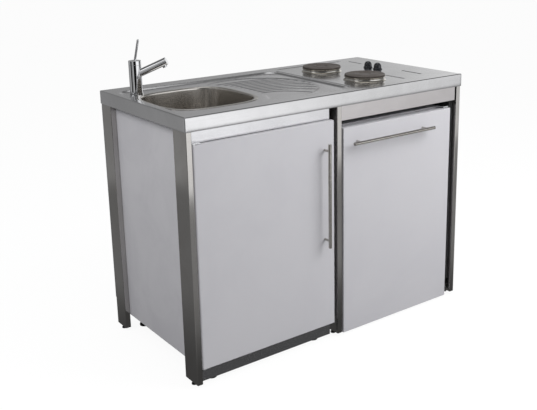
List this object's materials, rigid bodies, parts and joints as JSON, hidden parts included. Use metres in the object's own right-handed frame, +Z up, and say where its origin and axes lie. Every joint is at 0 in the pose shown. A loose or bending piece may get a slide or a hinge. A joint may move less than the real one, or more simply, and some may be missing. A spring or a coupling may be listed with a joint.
{
  "type": "kitchenette unit",
  "caption": "Steel kitchenette with an oval sink, ribbed draining board, mixer tap and electric plates over a hinged-door cupboard and an under-counter refrigerator.",
  "frame": {"origin": "middle of the whole footprint, handles included, at floor level", "axes": "+X to the right as seen from the front, +Y to the back, +Z up"},
  "size_m": [1.2, 0.632, 1.0864],
  "materials": {
    "stainless": "brushed",
    "frame_steel": "satin",
    "zinc": "satin",
    "black_plastic": "matte",
    "grey_coat": "satin",
    "galvanised": "matte",
    "bright_steel": "polished",
    "white_plastic": "gloss",
    "chrome": "polished",
    "cast_plate": "matte",
    "cream_plastic": "matte",
    "knob_black": "gloss",
    "door_coat": "satin",
    "white_coat": "satin",
    "top_grey": "satin",
    "dark_steel": "matte",
    "gasket_grey": "matte",
    "clear_plastic": "clear",
    "shelf_glass": "clear",
    "ice_aluminium": "satin",
    "compressor_black": "satin"
  },
  "bodies": {
    "unit": {"worktop": "stainless", "sink_bowl": "stainless", "top_frame": "frame_steel", "front_legs": "stainless", "rear_legs": "stainless", "leg_bolts": "zinc", "leg_plugs": "black_plastic", "levelling_feet": "black_plastic", "left_panel": "grey_coat", "middle_panel": "grey_coat", "right_panel": "grey_coat", "cabinet_floor": "grey_coat", "cabinet_front_rail": "stainless", "plinth": "stainless", "cabinet_feet": "black_plastic", "back_panel": "galvanised", "spacer_tubes": "zinc", "panel_screws": "zinc", "sink_waste": "bright_steel", "waste_trap": "white_plastic", "tap_base": "chrome", "tap_fixing": "zinc", "fascia": "stainless", "hob_pan": "galvanised", "hot_plates": "cast_plate", "plate_rings": "bright_steel", "plate_clamps": "zinc", "switches": "cream_plastic", "terminal_box": "black_plastic", "pivot_brackets": "zinc", "magnet_catch": "black_plastic", "fridge_shell": "white_coat", "fridge_liner": "white_plastic", "fridge_top": "top_grey", "fridge_base": "dark_steel", "fridge_fixings": "zinc", "fridge_hinges": "zinc", "fridge_shelves": "shelf_glass", "freezer_box": "ice_aluminium", "compressor": "compressor_black", "condenser": "compressor_black"},
    "cabinet_door": {"cabinet_door_skin": "door_coat", "cabinet_door_liner": "door_coat", "cabinet_handle": "bright_steel", "pivot_pins": "zinc"},
    "fridge_door": {"fridge_door_shell": "door_coat", "fridge_door_liner": "white_plastic", "fridge_gasket": "gasket_grey", "fridge_handle": "bright_steel", "door_bins": "clear_plastic"},
    "tap_spout": {"tap_column": "chrome", "tap_aerator": "chrome"},
    "tap_top": {"tap_cap": "chrome"},
    "tap_pin": {"tap_lever": "chrome"},
    "front_plate_knob": {"knob_front": "knob_black"},
    "rear_plate_knob": {"knob_rear": "knob_black"},
    "thermostat": {"thermostat_knob": "white_plastic"},
    "ice_flap": {"freezer_flap": "white_plastic"},
    "crisper": {"crisper_drawer": "clear_plastic"},
    "basket": {"basket_plug": "bright_steel"}
  },
  "joints": [
    {"name": "cabinet_door_hinge", "type": "hinge", "parent": "unit", "child": "cabinet_door", "pos_m": [-0.5695, -0.274, 0.436], "axis": [0, 0, -1], "range_deg": [0, 90]},
    {"name": "fridge_door_hinge", "type": "hinge", "parent": "unit", "child": "fridge_door", "pos_m": [0.532, -0.2625, 0.391], "axis": [0, 0, 1], "range_deg": [0, 110]},
    {"name": "tap_swivel", "type": "hinge", "parent": "unit", "child": "tap_spout", "pos_m": [-0.529, 0.17, 0.94], "axis": [0, 0, 1], "range_deg": [-60, 60]},
    {"name": "cap_turn", "type": "hinge", "parent": "tap_spout", "child": "tap_top", "pos_m": [-0.529, 0.17, 1.006], "axis": [0, 0, 1], "range_deg": [-45, 45]},
    {"name": "lever_tilt", "type": "hinge", "parent": "tap_top", "child": "tap_pin", "pos_m": [-0.529, 0.17, 1.009], "axis": [-0.6428, -0.766, 0], "range_deg": [0, 24]},
    {"name": "front_knob_turn", "type": "hinge", "parent": "unit", "child": "front_plate_knob", "pos_m": [0.434, 0.006, 0.9], "axis": [0, 0, -1], "range_deg": [0, 300]},
    {"name": "rear_knob_turn", "type": "hinge", "parent": "unit", "child": "rear_plate_knob", "pos_m": [0.434, 0.062, 0.9], "axis": [0, 0, -1], "range_deg": [0, 300]},
    {"name": "thermostat_turn", "type": "hinge", "parent": "unit", "child": "thermostat", "pos_m": [0.51, -0.148, 0.513], "axis": [-1, 0, 0], "range_deg": [0, 270]},
    {"name": "ice_flap_hinge", "type": "hinge", "parent": "unit", "child": "ice_flap", "pos_m": [0.281, -0.11, 0.717], "axis": [-1, 0, 0], "range_deg": [0, 90]},
    {"name": "crisper_slide", "type": "slide", "parent": "unit", "child": "crisper", "axis": [0, -1, 0], "range_m": [0, 0.07]},
    {"name": "basket_lift", "type": "slide", "parent": "unit", "child": "basket", "axis": [0, 0, 1], "range_m": [0, 0.06]}
  ]
}
